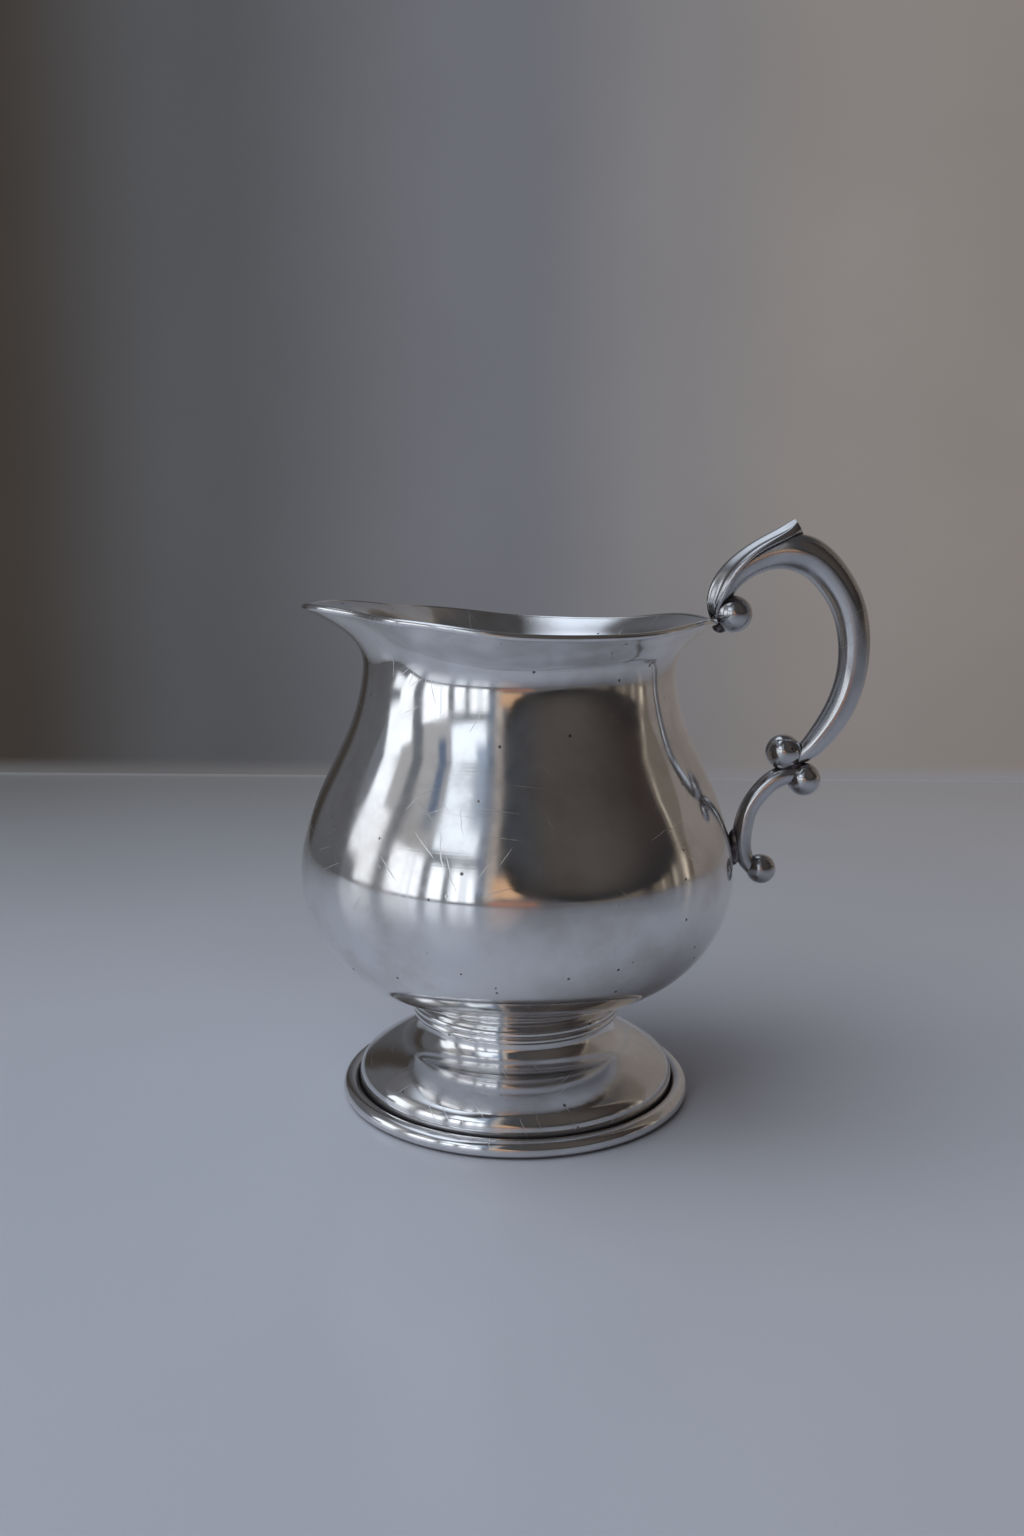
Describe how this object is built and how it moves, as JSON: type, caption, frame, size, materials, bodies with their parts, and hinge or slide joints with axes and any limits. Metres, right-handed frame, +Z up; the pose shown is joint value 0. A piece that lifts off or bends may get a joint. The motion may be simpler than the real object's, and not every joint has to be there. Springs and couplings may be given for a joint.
{
  "type": "footed cream jug",
  "caption": "Small footed cream jug with a round belly, flared wavy mouth, pouring lip and a double scroll handle with ball ends and a thumb leaf.",
  "frame": {"origin": "on the table, under the centre of the foot ring, whose axis is the axis of the bowl", "axes": "+Z up, spout along -X, handle along +X; the XZ plane is the jug's plane of symmetry"},
  "size_m": [0.0975, 0.075, 0.1005],
  "materials": {
    "polished_plate": "worn polished silver plate with fine scratches and light tarnish",
    "cast_plate": "cast and plated, greyer, with dark residue in the crevices",
    "solder": "dark, dull silver solder"
  },
  "bodies": {
    "root": {"body_shell": "polished_plate", "rim_bead": "polished_plate", "foot_collar": "polished_plate", "neck_band": "polished_plate", "foot_pedestal": "polished_plate", "foot_ring": "polished_plate", "upper_scroll": "cast_plate", "thumb_leaf": "cast_plate", "volute_ball": "cast_plate", "upper_tail_ball": "cast_plate", "lower_scroll": "cast_plate", "lower_head_ball": "cast_plate", "lower_tail_ball": "cast_plate", "body_solder": "solder", "rim_solder": "solder", "scroll_solder": "solder"}
  },
  "joints": []
}
